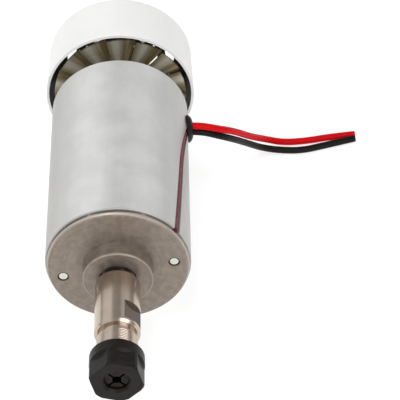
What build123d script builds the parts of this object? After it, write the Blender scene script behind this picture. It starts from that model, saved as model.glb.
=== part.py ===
"""Air-cooled brushed motor spindle with a collet chuck, in millimetres.

The spindle axis lies along Y. The nose points to -Y, the leads leave on the +X side and +Z is up.
The origin is on the spindle axis, in the plane of the front bell's face.
Angles round the axis are measured from +Z towards +X.
"""
from build123d import *
from math import cos, pi, radians, sin, tan
import os

# ---- Clearances ------------------------------------------------------------------------------
seat_gap = 0.02            # radial gap of a fixed seat
running_gap = 0.06         # radial gap of a running fit
thread_gap = 0.10          # radial gap between nut and chuck threads
clip_gap = 0.35            # axial gap each side of the nut's clip lip
screw_gap = 0.25           # radial clearance of a bolt hole
air_gap = 0.50             # radial gap between armature and magnets

# ---- Barrel ----------------------------------------------------------------------------------
sleeve_radius = 26.0
sleeve_wall = 2.0
sleeve_length = 83.8
sleeve_edge = 0.3
can_wall = 1.7
motor_clocking = -6.56     # turn of magnets and windings about the axis, degrees
bolt_angles = (83.4, 257.9)

# ---- Front bell ------------------------------------------------------------------------------
flange_inset = 0.6         # step from the sleeve's surface down to the flange's rim
flange_thickness = 2.3
flange_edge_radius = 1.2
boss_radius = 12.5
boss_length = 6.5
boss_edge = 0.4
bearing_lip = 1.5
bearing_lip_radius = 6.8
spigot_length = 4.5
spigot_ring_width = 4.9
relief_count = 8
relief_depth = 2.0
relief_width = 1.0

# ---- Ball bearings (size 608) ------------------------------------------------------------------
bearing_radius = 11.0
bearing_width = 7.0
ring_land_outer = 9.2
ring_land_inner = 5.9
ball_radius = 1.98
ball_count = 7
ball_gap = 0.07
cage_wall = 0.9
cage_margin = 0.6          # side of the cage past the balls, each way
shield_thickness = 0.3

# ---- Rear bell -------------------------------------------------------------------------------
rear_bell_inset = 2.6      # how far the rear bell's seat lies inside the sleeve's rear end
rear_flange_thickness = 4.0
rear_edge_radius = 1.0
rear_hub_radius = 13.0
rear_hub_length = 7.0
wave_washer_thickness = 0.6
vent_count = 4
vent_band = (0.367, 0.917) # place of the vents' edges between the hub and the spigot's bore
vent_span = 56.0

# ---- Through bolts -----------------------------------------------------------------------------
bolt_wall = 2.2            # metal from the bolts' centre line to the spigot's outside
bolt_radius = 1.5
bolt_head_radius = 2.75
bolt_head_height = 2.0
bolt_washer_thickness = 0.6
bolt_tip_recess = 0.3
bolt_mouth_radius = 2.1
bolt_mouth_depth = 1.2

# ---- Shaft and chuck ---------------------------------------------------------------------------
shaft_radius = 4.0
chuck_radius = 8.0
chuck_rear = 9.5           # distance of the chuck's rear end in front of the bell face
chuck_body_length = 24.4
chuck_chamfer = 0.8
chuck_bore_depth = 15.0
relief_bore_radius = 3.4
neck_radius = 6.3
neck_length = 2.1
thread_bare_length = 8.0   # length of thread left bare behind the nut
thread_radius = 7.0
thread_chamfer = 0.4
flat_across = 13.5
flat_length = 8.4
flat_setback = 1.6         # from the flats to the front end of the chuck body
flat_angle = 52.0

# ---- Collet and nut ----------------------------------------------------------------------------
collet_bore_radius = 1.5875
collet_length = 18.0
collet_taper = 8.0
collet_head_radius = 5.75
collet_face_radius = 4.0
collet_nose_angle = 30.0
collet_nose_length = 1.8
collet_nose_land = 0.4
collet_groove_radius = 4.55
collet_groove_width = 1.5
collet_head_land = 0.6
collet_face_recess = 1.4
collet_slot_width = 0.7
collet_slot_count = 4
collet_slot_depth = 14.0
nut_radius = 9.5
nut_length = 11.8
nut_across_flats = 17.0
nut_hex_length = 7.3
nut_hex_angle = -15.0
nut_edge = 0.5
nut_mouth_radius = 4.2
nut_mouth_edge = 0.8
socket_spare = 0.6         # depth of the chuck's taper behind the collet
nut_clip_radius = 4.9

# ---- Fan and its cover -------------------------------------------------------------------------
cover_gap = 11.5           # open length between the sleeve and the cover's lip
cover_overhang = 2.7       # step from the sleeve's surface out to the cover's lip
cover_taper = 0.7
cover_length = 25.4
cover_lip_wall = 1.0
cover_wall = 1.5
cover_rear_wall = 1.8
cover_corner_radius = 2.0
cover_leg_angles = (120.0, 175.0, 230.0)
cover_leg_width = 8.0
cover_foot_thickness = 2.2
grille_rings = 3
grille_pitch = 6.6
grille_slot_width = 3.4
grille_hub_radius = 4.6
grille_spokes = 6
grille_spoke_width = 3.0
fan_tip_gap = 2.2
fan_root_radius = 12.5
fan_blades = 14
fan_blade_pitch = 9.0
fan_sheet = 0.8
fan_setback = 0.7
fan_turn = 1.9
fan_blade_slit = 0.3
fan_bush_radius = 6.0
fan_bush_front = 3.0
fan_stub_radius = 3.0
fan_nut_across = 10.0
fan_nut_height = 4.0
fan_washer_radius = 6.5
fan_washer_thickness = 1.0
shaft_tail = 1.5
cover_screw_radius = 1.25
cover_screw_inset = 2.78   # from the rear bell's rim to the cover screws' centres
cover_screw_length = 5.5
cover_screw_head_radius = 2.4
cover_screw_head_height = 1.7

# ---- Armature, commutator and brushes ----------------------------------------------------------
armature_front = 30.0
armature_length = 37.0
armature_slots = 12
armature_slot_width = 3.0
armature_slot_mouth = 1.5
armature_tip = 1.4
armature_slot_depth = 7.06
end_turn_length = 6.6
end_turn_gap = 0.3
end_turn_inset = 1.46      # step from the armature's surface down to the end turns
coil_gap = 0.1
commutator_front = 10.5
commutator_length = 11.5
commutator_radius = 9.5
commutator_hub_radius = 7.0
commutator_bars = 12
commutator_slit = 0.5
riser_length = 1.5
riser_radius = 10.8
magnet_overhang = 1.0
magnet_wall = 4.7
magnet_span = 116.0
card_front = 7.6
card_thickness = 1.5
card_hole_radius = 11.4
brush_width = 5.0
brush_depth = 6.0
brush_spring_room = 3.64
brush_gap = 0.15
holder_wall = 0.6
holder_card_gap = 0.2      # from the card's hole to the holders' inner ends
holder_can_gap = 1.48
holder_clearance = 0.3     # between the card and the brush holders' mouths
spring_radius = 1.8
spring_wall = 0.4
brush_travel = 2.5
terminal_width = 4.0
terminal_length = 6.0
terminal_thickness = 0.8
terminal_angle = 42.0

# ---- Leads, lead slot and grommet --------------------------------------------------------------
lead_radius = 1.35
slot_width = 3.0
slot_depth = 3.05
slot_plane_angle = 66.0
slot_front_offset = -5.27
slot_corner = (0.1, 56.5)  # sideways place and station where the slot's two straights would meet
slot_bend_radius = 80.0
slot_lead_front = 1.0      # how far the lead in the slot starts behind the sleeve's front edge
slot_lead_rise = 0.35      # extra height of the lead's corner, so that its bend keeps off the slot's floor
grommet_angle = 86.5
grommet_station = 74.2
grommet_hole_radius = 4.1
grommet_flange_radius = 5.3
grommet_height = 2.0
grommet_rim_height = 0.25
grommet_crown_radius = 1.6
grommet_lead_spacing = 2.85
grommet_bore_depth = 2.6
grommet_exit_run = 5.0     # length of each lead's first straight run, from the bottom of its bore
red_lead_route = (
    (38.4, 75.5, 0.2), (44.2, 81.0, -5.6), (50.4, 88.9, -14.8), (56.6, 96.9, -23.0),
    (64.4, 99.7, -27.35), (73.8, 100.5, -27.35), (83.6, 102.8, -27.35), (93.4, 104.2, -27.35),
)
black_lead_route = (
    (38.2, 75.1, -2.8), (43.9, 80.1, -8.8), (49.5, 87.3, -17.0), (55.2, 93.3, -24.4),
    (62.6, 95.0, -27.35), (71.6, 94.6, -27.35), (81.0, 97.6, -27.35), (93.2, 101.6, -27.35),
)

# ---- Worked-out places -------------------------------------------------------------------------
flange_radius = sleeve_radius - flange_inset
sleeve_bore_radius = sleeve_radius - sleeve_wall
can_radius = sleeve_bore_radius - seat_gap
can_bore_radius = can_radius - can_wall
spigot_radius = can_bore_radius - seat_gap
spigot_bore_radius = spigot_radius - spigot_ring_width
bolt_circle_radius = spigot_radius - bolt_wall
cover_screw_circle = can_radius - cover_screw_inset
sleeve_front = flange_thickness
sleeve_rear = sleeve_front + sleeve_length
can_rear = sleeve_rear - rear_bell_inset
rear_face = can_rear + rear_flange_thickness
front_bearing_front = -boss_length + bearing_lip
front_bearing_rear = front_bearing_front + bearing_width
rear_bearing_rear = rear_face + rear_hub_length - bearing_lip - wave_washer_thickness
rear_bearing_front = rear_bearing_rear - bearing_width
chuck_front_body = -chuck_rear - chuck_body_length
neck_front = chuck_front_body - neck_length
nut_rear = neck_front - thread_bare_length
nut_front = nut_rear - nut_length
collet_front = nut_front + collet_face_recess
collet_rear = collet_front + collet_length
cover_lip = sleeve_rear + cover_gap
cover_rear = cover_lip + cover_length
cover_lip_radius = sleeve_radius + cover_overhang
cover_rear_radius = cover_lip_radius - cover_taper
fan_radius = cover_lip_radius - cover_lip_wall - fan_tip_gap
fan_blade_half_tip = fan_radius * tan(pi / fan_blades) / cos(radians(fan_blade_pitch))
fan_plane = cover_lip + fan_setback + fan_blade_half_tip * sin(radians(fan_blade_pitch))
fan_face = fan_plane - fan_sheet / 2
armature_radius = can_bore_radius - seat_gap - magnet_wall - air_gap
armature_rear = armature_front + armature_length
armature_core_radius = armature_radius - armature_tip - armature_slot_depth
end_turn_radius = armature_radius - end_turn_inset
brush_station = commutator_front + (commutator_length - riser_length) / 2
card_rear = card_front + card_thickness
holder_inner_end = card_hole_radius + holder_card_gap
holder_outer_end = can_bore_radius - holder_can_gap
brush_tip = commutator_radius + running_gap
brush_length = holder_outer_end - holder_wall - brush_tip - brush_spring_room


# ---- Helpers -----------------------------------------------------------------------------------
def turned(*points):
    """Solid of revolution about the spindle axis from (radius, station) corners."""
    outline = make_face(Polyline(*points, close=True))
    return revolve(outline, axis=Axis.Y)


def tube(inner, outer, start, end):
    """Plain ring between two radii and two stations."""
    return turned((inner, start), (outer, start), (outer, end), (inner, end))


def rod(radius, start, end):
    """Plain cylinder on the spindle axis."""
    return turned((0, start), (radius, start), (radius, end), (0, end))


def round_about_axis(angle):
    """Placement that turns a shape about the spindle axis, from +Z towards +X."""
    return Rot(0, angle, 0)


def upright(radius, station):
    """Placement on top of the axis at a radius, with local Z pointing away from the axis."""
    return Pos(0, station, radius)


def at_angles(shape, angles):
    """Copies of a shape, turned about the spindle axis by each of the angles."""
    return [round_about_axis(angle) * shape for angle in angles]


def spaced(shape, count, start=0.0):
    """Copies of a shape, evenly spaced about the spindle axis."""
    return at_angles(shape, [start + 360 * i / count for i in range(count)])


def group(shapes):
    """Separate solids kept together in one node."""
    solids = []
    for shape in shapes:
        solids.extend(shape.solids())
    return Compound(children=solids)


def cut_all(shape, tools):
    """Shape with every tool taken away."""
    for tool in tools:
        shape -= tool
    return shape


def axial_rod(radius, at_radius, start, end):
    """Cylinder parallel to the axis, standing above it at a radius."""
    return Pos(0, 0, at_radius) * rod(radius, start, end)


def sector(inner, outer, start, end, span):
    """Ring sector centred on +Z, with radial sides."""
    reach = outer * 2
    half = radians(span / 2)
    wedge = make_face(Polyline((0, 0), (-reach * tan(half), reach), (reach * tan(half), reach), close=True))
    prism = extrude(Plane.XZ * wedge, amount=-(end - start))
    return tube(inner, outer, start, end) & Pos(0, start, 0) * prism


def hexagon(across, start, end, angle=0.0):
    """Hexagonal prism on the spindle axis with a corner at the given angle."""
    corner = across / 2 / cos(pi / 6)
    section = RegularPolygon(radius=corner, side_count=6, rotation=90)
    prism = extrude(Plane.XZ * section, amount=-(end - start))
    return round_about_axis(angle) * Pos(0, start, 0) * prism


# ---- Lead slot ---------------------------------------------------------------------------------
def slot_place(distance):
    """Sideways place and station on the slot's front straight, behind the sleeve's front edge."""
    slope = (slot_corner[0] - slot_front_offset) / (slot_corner[1] - sleeve_front)
    return (slot_front_offset + slope * distance, sleeve_front + distance)


def slot_end():
    """Sideways place and station of the grommet, seen along the slot's depth."""
    return (sleeve_radius * sin(radians(grommet_angle - slot_plane_angle)), grommet_station)


def slot_tool():
    """Curved lead slot, from the sleeve's front edge to the grommet, down to the slot's floor."""
    front = slot_place(-slot_width)
    centre = FilletPolyline(front, slot_corner, slot_end(), radius=slot_bend_radius)
    reach = sleeve_radius * 1.2
    prism = extrude(trace(centre, line_width=slot_width), amount=reach)
    shell = tube(sleeve_radius - slot_depth, reach, front[1], sleeve_rear)
    return (round_about_axis(slot_plane_angle) * prism) & shell


def grommet_axis():
    """Placement on the spindle axis with local Z pointing out through the grommet."""
    return round_about_axis(grommet_angle) * Pos(0, grommet_station, 0)


def grommet_hole(radius):
    """Round hole for the grommet through sleeve and can."""
    reach = sleeve_radius * 1.2
    return grommet_axis() * Pos(0, 0, reach / 2 + can_bore_radius / 2) * Cylinder(radius, reach - can_bore_radius)


# ---- Barrel pieces -----------------------------------------------------------------------------
def flux_sleeve():
    """Zinc-plated flux ring round the can, with its seam kept away from the lead slot and the grommet hole."""
    outer = sleeve_radius
    ring = turned(
        (sleeve_bore_radius, sleeve_front), (outer - sleeve_edge, sleeve_front), (outer, sleeve_front + sleeve_edge),
        (outer, sleeve_rear - sleeve_edge), (outer - sleeve_edge, sleeve_rear), (sleeve_bore_radius, sleeve_rear),
    )
    seamless_side = round_about_axis(180) * ring
    return seamless_side - slot_tool() - grommet_hole(grommet_hole_radius)


def motor_can():
    """Steel can that carries the magnets, grooved under the lead slot."""
    can = tube(can_bore_radius, can_radius, sleeve_front, can_rear)
    return can - slot_tool() - grommet_hole(grommet_hole_radius - sleeve_wall / 2)


def field_magnets():
    """Two ferrite arcs bonded inside the can, clear of the through bolts."""
    outer = can_bore_radius - seat_gap
    start = armature_front - magnet_overhang
    end = armature_rear + magnet_overhang
    arc = sector(outer - magnet_wall, outer, start, end, magnet_span)
    return group(spaced(arc, 2, motor_clocking))


# ---- Front bell --------------------------------------------------------------------------------
def rim_reliefs():
    """Shallow chordal reliefs behind the front flange's rim."""
    chord = flange_radius - relief_depth
    block = Box(flange_radius, relief_width, relief_depth * 2)
    relief = upright(chord + relief_depth, flange_thickness - relief_width / 2) * block
    return spaced(relief, relief_count)


def front_bell():
    """Cast front bell: flange, nose boss with the bearing pocket, and spigot ring."""
    spigot_end = flange_thickness + spigot_length
    spigot_bore = spigot_bore_radius
    pocket = bearing_radius + seat_gap
    edge = flange_edge_radius
    web = flange_thickness + (front_bearing_rear - flange_thickness) / 2
    with BuildPart() as bell:
        with BuildSketch(Plane.XY):
            with BuildLine():
                Polyline(
                    (bearing_lip_radius, front_bearing_front), (bearing_lip_radius, -boss_length),
                    (boss_radius - boss_edge, -boss_length), (boss_radius, -boss_length + boss_edge),
                    (boss_radius, 0), (flange_radius - edge, 0),
                )
                RadiusArc((flange_radius - edge, 0), (flange_radius, edge), -edge)
                Polyline(
                    (flange_radius, edge), (flange_radius, flange_thickness), (spigot_radius, flange_thickness),
                    (spigot_radius, spigot_end), (spigot_bore, spigot_end), (spigot_bore, web), (pocket, web),
                    (pocket, front_bearing_front), (bearing_lip_radius, front_bearing_front),
                )
            make_face()
        revolve(axis=Axis.Y)
    mouth = bolt_radius + seat_gap
    thread = axial_rod(mouth, bolt_circle_radius, 0, spigot_end)
    counterbore = axial_rod(bolt_mouth_radius, bolt_circle_radius, 0, bolt_mouth_depth)
    holes = at_angles(thread + counterbore, bolt_angles)
    return cut_all(bell.part, rim_reliefs() + holes)


# ---- Rear bell ---------------------------------------------------------------------------------
def rear_bell():
    """Cast rear bell: plate, bearing hub, vents and the holes for bolts and cover screws."""
    spigot_start = can_rear - spigot_length
    spigot_bore = spigot_bore_radius
    pocket = bearing_radius + seat_gap
    outer = can_radius
    edge = rear_edge_radius
    hub_end = rear_face + rear_hub_length
    pocket_end = hub_end - bearing_lip
    with BuildPart() as bell:
        with BuildSketch(Plane.XY):
            with BuildLine():
                Polyline(
                    (spigot_bore, can_rear), (spigot_bore, spigot_start), (spigot_radius, spigot_start),
                    (spigot_radius, can_rear), (outer, can_rear), (outer, rear_face - edge),
                )
                RadiusArc((outer, rear_face - edge), (outer - edge, rear_face), -edge)
                Polyline(
                    (outer - edge, rear_face), (rear_hub_radius, rear_face), (rear_hub_radius, hub_end - edge),
                    (rear_hub_radius - edge, hub_end), (bearing_lip_radius, hub_end),
                    (bearing_lip_radius, pocket_end), (pocket, pocket_end), (pocket, can_rear), (spigot_bore, can_rear),
                )
            make_face()
        revolve(axis=Axis.Y)
    vent_inner, vent_outer = [rear_hub_radius + share * (spigot_bore - rear_hub_radius) for share in vent_band]
    vent = sector(vent_inner, vent_outer, can_rear, rear_face, vent_span)
    bolt_hole = axial_rod(bolt_radius + screw_gap, bolt_circle_radius, spigot_start, rear_face)
    screw_end = rear_face + cover_foot_thickness - cover_screw_length
    screw_hole = axial_rod(cover_screw_radius + seat_gap, cover_screw_circle, screw_end, rear_face)
    tools = spaced(vent, vent_count, motor_clocking + 180 / vent_count)
    tools += at_angles(bolt_hole, bolt_angles) + at_angles(screw_hole, cover_leg_angles)
    return cut_all(bell.part, tools)


def through_bolts():
    """Two long bolts that pull the bells together, headed at the rear."""
    head_front = rear_face + bolt_washer_thickness
    shank = axial_rod(bolt_radius, bolt_circle_radius, bolt_tip_recess, head_front)
    head = axial_rod(bolt_head_radius, bolt_circle_radius, head_front, head_front + bolt_head_height)
    return group(at_angles(shank + head, bolt_angles))


def bolt_washers():
    """Washers under the through bolts' heads."""
    ring = Pos(0, 0, bolt_circle_radius) * tube(
        bolt_radius + seat_gap, bolt_head_radius, rear_face, rear_face + bolt_washer_thickness
    )
    return group(at_angles(ring, bolt_angles))


# ---- Bearings ----------------------------------------------------------------------------------
def ball_circle():
    """Radius of the circle on which the balls run."""
    return (ring_land_inner + ring_land_outer) / 2


def race(start):
    """Torus of the ball groove."""
    return Pos(0, start + bearing_width / 2, 0) * Rot(90, 0, 0) * Torus(ball_circle(), ball_radius + ball_gap)


def bearing_outer_ring(start):
    """Outer ring with its ball groove."""
    return tube(ring_land_outer, bearing_radius, start, start + bearing_width) - race(start)


def bearing_inner_ring(start):
    """Inner ring with its ball groove."""
    return tube(shaft_radius + seat_gap, ring_land_inner, start, start + bearing_width) - race(start)


def bearing_balls(start):
    """Set of balls."""
    ball = upright(ball_circle(), start + bearing_width / 2) * Sphere(ball_radius)
    return group(spaced(ball, ball_count))


def bearing_cage(start):
    """Ribbon cage that spaces the balls."""
    middle = start + bearing_width / 2
    half = ball_radius + cage_margin
    ring = tube(ball_circle() - cage_wall / 2, ball_circle() + cage_wall / 2, middle - half, middle + half)
    pocket = upright(ball_circle(), middle) * Cylinder(ball_radius + ball_gap, cage_wall * 3)
    return cut_all(ring, spaced(pocket, ball_count))


def bearing_shields(start):
    """Pair of pressed shields in the outer ring, clear of the inner ring."""
    inner = ring_land_inner + clip_gap
    outer = ring_land_outer - seat_gap
    end = start + bearing_width
    faces = (start, end - shield_thickness)
    return group([tube(inner, outer, face, face + shield_thickness) for face in faces])


def wave_washer():
    """Preload washer behind the rear bearing."""
    outer = bearing_radius - seat_gap
    return tube(ring_land_outer, outer, rear_bearing_rear, rear_bearing_rear + wave_washer_thickness)


# ---- Rotor -------------------------------------------------------------------------------------
def shaft_end():
    """Station of the shaft's rear end."""
    return fan_face + fan_sheet + fan_washer_thickness + fan_nut_height + shaft_tail


def spindle_shaft():
    """Motor shaft with a threaded stub for the fan."""
    front = -chuck_rear - chuck_bore_depth + seat_gap
    shoulder = fan_face - fan_bush_front
    chamfer = seat_gap * 20
    return turned(
        (0, front), (shaft_radius - chamfer, front), (shaft_radius, front + chamfer), (shaft_radius, shoulder),
        (fan_stub_radius, shoulder), (fan_stub_radius, shaft_end() - chamfer),
        (fan_stub_radius - chamfer, shaft_end()), (0, shaft_end()),
    )


def taper_radius(station):
    """Radius of the collet's main taper at a station."""
    head_rear = collet_front + collet_nose_length + collet_nose_land + collet_groove_width + collet_head_land
    return collet_head_radius - (station - head_rear) * tan(radians(collet_taper))


def chuck_front():
    """Station of the chuck's mouth, one clip gap behind the nut's clip lip."""
    groove_rear = collet_front + collet_nose_length + collet_nose_land + collet_groove_width
    return groove_rear


def collet_chuck():
    """Extension chuck: round body with wrench flats, relief neck, thread and taper socket."""
    front = chuck_front()
    rear = -chuck_rear
    bore_end = rear - chuck_bore_depth
    socket_end = collet_rear + socket_spare
    bore = shaft_radius + seat_gap
    small = chuck_chamfer / 2
    body = turned(
        (bore, rear), (chuck_radius - small, rear), (chuck_radius, rear - small),
        (chuck_radius, chuck_front_body + chuck_chamfer), (chuck_radius - chuck_chamfer, chuck_front_body),
        (neck_radius, chuck_front_body), (neck_radius, neck_front), (thread_radius - thread_chamfer, neck_front),
        (thread_radius, neck_front - thread_chamfer), (thread_radius, front + thread_chamfer),
        (thread_radius - thread_chamfer, front), (taper_radius(front) + running_gap, front),
        (taper_radius(socket_end) + running_gap, socket_end), (relief_bore_radius, socket_end),
        (relief_bore_radius, bore_end), (bore, bore_end),
    )
    flat_front = chuck_front_body + flat_setback
    cheek = Box(chuck_radius * 2, flat_length, chuck_radius)
    flat = upright(flat_across / 2 + chuck_radius / 2, flat_front + flat_length / 2) * cheek
    return cut_all(body, spaced(flat, 2, flat_angle))


def armature_core():
    """Laminated core with semi-closed winding slots."""
    core = tube(shaft_radius + seat_gap, armature_radius, armature_front, armature_rear)
    slot_outer = armature_radius - armature_tip
    depth = slot_outer - armature_core_radius
    middle = (armature_front + armature_rear) / 2
    well = upright(armature_core_radius + depth / 2, middle) * Box(armature_slot_width, armature_length, depth)
    mouth = upright(armature_radius, middle) * Box(armature_slot_mouth, armature_length, armature_tip * 3)
    return cut_all(core, spaced(well + mouth, armature_slots, motor_clocking))


def end_turns(start, end):
    """Wound and varnished end turns as a rounded ring."""
    inner = shaft_radius * 1.6
    corner = end_turn_length / 4
    return turned(
        (inner, start), (end_turn_radius - corner, start), (end_turn_radius, start + corner),
        (end_turn_radius, end - corner), (end_turn_radius - corner, end), (inner, end),
    )


def armature_windings():
    """Coil sides in the slots, joined by the end turns."""
    slot_outer = armature_radius - armature_tip - coil_gap
    inner = armature_core_radius + coil_gap
    depth = slot_outer - inner
    middle = (armature_front + armature_rear) / 2
    length = armature_length + end_turn_gap * 4
    side = upright(inner + depth / 2, middle) * Box(armature_slot_width - coil_gap * 2, length, depth)
    front_end = armature_front - end_turn_gap
    rear_start = armature_rear + end_turn_gap
    wound = end_turns(front_end - end_turn_length, front_end) + end_turns(rear_start, rear_start + end_turn_length)
    for coil in spaced(side, armature_slots, motor_clocking):
        wound += coil
    return wound


def commutator_hub():
    """Moulded insulating hub of the commutator."""
    end = commutator_front + commutator_length
    return tube(shaft_radius + seat_gap, commutator_hub_radius, commutator_front, end)


def commutator_segments():
    """Copper bars with risers, split by narrow slits."""
    end = commutator_front + commutator_length
    inner = commutator_hub_radius + seat_gap
    ring = turned(
        (inner, commutator_front), (commutator_radius, commutator_front), (commutator_radius, end - riser_length),
        (riser_radius, end - riser_length), (riser_radius, end), (inner, end),
    )
    middle = commutator_front + commutator_length / 2
    slit = upright(riser_radius / 2, middle) * Box(commutator_slit, commutator_length, riser_radius)
    bars = cut_all(ring, spaced(slit, commutator_bars, motor_clocking))
    return group([bars])


def shaft_spacers():
    """Spacer tubes between the bearings and the rotor pieces."""
    outer = ring_land_inner - seat_gap
    inner = shaft_radius + seat_gap
    winding_rear = armature_rear + end_turn_gap + end_turn_length
    front = tube(inner, outer, front_bearing_rear, commutator_front)
    rear = tube(inner, outer, winding_rear, rear_bearing_front)
    return group([front, rear])


# ---- Brush gear --------------------------------------------------------------------------------
def brush_card():
    """Insulating card that carries the brush holders, seated on the front bell's spigot."""
    card = tube(card_hole_radius, spigot_radius - seat_gap, card_front, card_rear)
    hole = axial_rod(bolt_radius + screw_gap, bolt_circle_radius, card_front, card_rear)
    return cut_all(card, at_angles(hole, bolt_angles))


def holder_depth():
    """Outer size of a brush holder along the axis."""
    return brush_width + 2 * (brush_gap + holder_wall)


def brush_holder():
    """Brass box that guides one brush, with a closed outer end and a foot on the card."""
    length = holder_outer_end - holder_inner_end
    middle = (holder_outer_end + holder_inner_end) / 2
    width = brush_depth + 2 * (brush_gap + holder_wall)
    box = upright(middle, brush_station) * Box(width, holder_depth(), length)
    hollow = Box(brush_depth + 2 * brush_gap, brush_width + 2 * brush_gap, length)
    bored = box - upright(middle - holder_wall, brush_station) * hollow
    foot_length = brush_station - holder_depth() / 2 - card_rear
    foot = Box(width, foot_length, length - holder_clearance)
    return bored + upright(middle + holder_clearance / 2, card_rear + foot_length / 2) * foot


def brush_holders():
    """Pair of brush holders."""
    return group(spaced(brush_holder(), 2))


def brush(angle):
    """Carbon brush with a face ground to the commutator."""
    block = upright(brush_tip + brush_length / 2 - brush_gap, brush_station)
    blank = block * Box(brush_depth, brush_width, brush_length + brush_gap * 2)
    bored = blank - rod(brush_tip, brush_station - brush_width, brush_station + brush_width)
    return round_about_axis(angle) * bored


def brush_spring(angle):
    """Space taken by one brush spring, between the brush and its holder's closed end."""
    start = brush_tip + brush_length
    end = holder_outer_end - holder_wall
    length = end - start
    shell = Cylinder(spring_radius, length) - Cylinder(spring_radius - spring_wall, length)
    return round_about_axis(angle) * upright(start + length / 2, brush_station) * shell


def brush_terminals():
    """Brass tabs on the card for the two leads."""
    middle = (card_hole_radius + spigot_radius) / 2
    tab = upright(middle, card_rear + terminal_thickness / 2)
    plate = tab * Box(terminal_width, terminal_thickness, terminal_length)
    return group(spaced(plate, 2, motor_clocking + terminal_angle))


# ---- Collet and nut ----------------------------------------------------------------------------
def collet():
    """Slit spring collet with a long taper, a clip groove and a short nose cone."""
    nose_end = collet_front + collet_nose_length
    land_end = nose_end + collet_nose_land
    groove_end = land_end + collet_groove_width
    head_end = groove_end + collet_head_land
    nose_radius = collet_face_radius + collet_nose_length * tan(radians(collet_nose_angle))
    bore = collet_bore_radius
    body = turned(
        (bore, collet_front), (collet_face_radius, collet_front), (nose_radius, nose_end), (nose_radius, land_end),
        (collet_groove_radius, land_end), (collet_groove_radius, groove_end), (collet_head_radius, groove_end),
        (collet_head_radius, head_end), (taper_radius(collet_rear), collet_rear), (bore, collet_rear),
    )
    depth = collet_slot_depth
    reach = collet_head_radius
    blade = Box(collet_slot_width, depth, reach)
    front_slot = upright(reach / 2 + bore / 2, collet_front + depth / 2) * blade
    rear_slot = upright(reach / 2 + bore / 2, collet_rear - depth / 2) * blade
    half_step = 180 / collet_slot_count
    slots = spaced(front_slot, collet_slot_count, half_step) + spaced(rear_slot, collet_slot_count)
    return cut_all(body, slots)


def nut_bore():
    """Inside of the nut: thread, clip lip and nose cone."""
    land_end = collet_front + collet_nose_length + collet_nose_land
    lip_front = land_end + clip_gap
    lip_rear = land_end + collet_groove_width - clip_gap
    slope = tan(radians(collet_nose_angle))
    cone_rear = land_end
    cone_radius = collet_face_radius + collet_nose_length * slope + thread_gap
    cone_front = cone_rear - collet_nose_land - (cone_radius - nut_mouth_radius) / slope
    return turned(
        (0, nut_rear), (thread_radius + thread_gap, nut_rear), (thread_radius + thread_gap, lip_rear),
        (nut_clip_radius, lip_rear), (nut_clip_radius, lip_front), (cone_radius + clip_gap, lip_front),
        (cone_radius + clip_gap, cone_rear), (cone_radius, cone_rear - collet_nose_land),
        (nut_mouth_radius, cone_front), (nut_mouth_radius, nut_front + nut_mouth_edge),
        (nut_mouth_radius + nut_mouth_edge, nut_front), (0, nut_front),
    )


def collet_nut():
    """Hexagon clamping nut with a round collar at its rear."""
    hex_end = nut_front + nut_hex_length
    flat_radius = nut_across_flats / 2
    blank = turned(
        (0, nut_front), (nut_radius - nut_edge, nut_front), (nut_radius, nut_front + nut_edge),
        (nut_radius, nut_rear - nut_edge), (nut_radius - nut_edge, nut_rear), (0, nut_rear),
    )
    hexed = blank & hexagon(nut_across_flats, nut_front, nut_rear, nut_hex_angle)
    shoulder = nut_radius - flat_radius
    collar = turned(
        (0, hex_end - shoulder), (flat_radius, hex_end - shoulder), (nut_radius, hex_end),
        (nut_radius, nut_rear - nut_edge), (nut_radius - nut_edge, nut_rear), (0, nut_rear),
    )
    return hexed + collar - nut_bore()


# ---- Fan ---------------------------------------------------------------------------------------
def fan_blade():
    """One flat pitched blade of the stamped fan, pointing up."""
    inner = fan_root_radius - fan_sheet
    outer = fan_radius + fan_sheet
    spread = tan(pi / fan_blades) / cos(radians(fan_blade_pitch))
    near = inner * spread - fan_blade_slit / 2
    far = outer * spread - fan_blade_slit / 2
    outline = make_face(Polyline((-near, inner), (near, inner), (far, outer), (-far, outer), close=True))
    sheet = extrude(Plane.XZ * outline, amount=fan_sheet / 2, both=True)
    return Pos(0, fan_plane, 0) * Rot(0, 0, fan_blade_pitch) * sheet


def cooling_fan():
    """Stamped sheet fan: a hub disc and a ring of pitched blades."""
    span = fan_radius
    blades = spaced(fan_blade(), fan_blades, fan_turn)
    fan = rod(fan_root_radius, fan_face, fan_face + fan_sheet)
    for blade in blades:
        fan += blade
    trimmed = fan & rod(fan_radius, fan_plane - span, fan_plane + span)
    return trimmed - rod(fan_stub_radius + seat_gap, fan_face - span, fan_face + span)


def fan_bush():
    """Flanged bush between the shaft's shoulder and the fan."""
    return tube(fan_stub_radius + seat_gap, fan_bush_radius, fan_face - fan_bush_front, fan_face)


def fan_washer():
    """Plain washer under the fan nut."""
    start = fan_face + fan_sheet
    return tube(fan_stub_radius + seat_gap, fan_washer_radius, start, start + fan_washer_thickness)


def fan_nut():
    """Hexagon nut that holds the fan."""
    start = fan_face + fan_sheet + fan_washer_thickness
    nut = hexagon(fan_nut_across, start, start + fan_nut_height)
    return nut - rod(fan_stub_radius + seat_gap, start, start + fan_nut_height)


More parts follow.
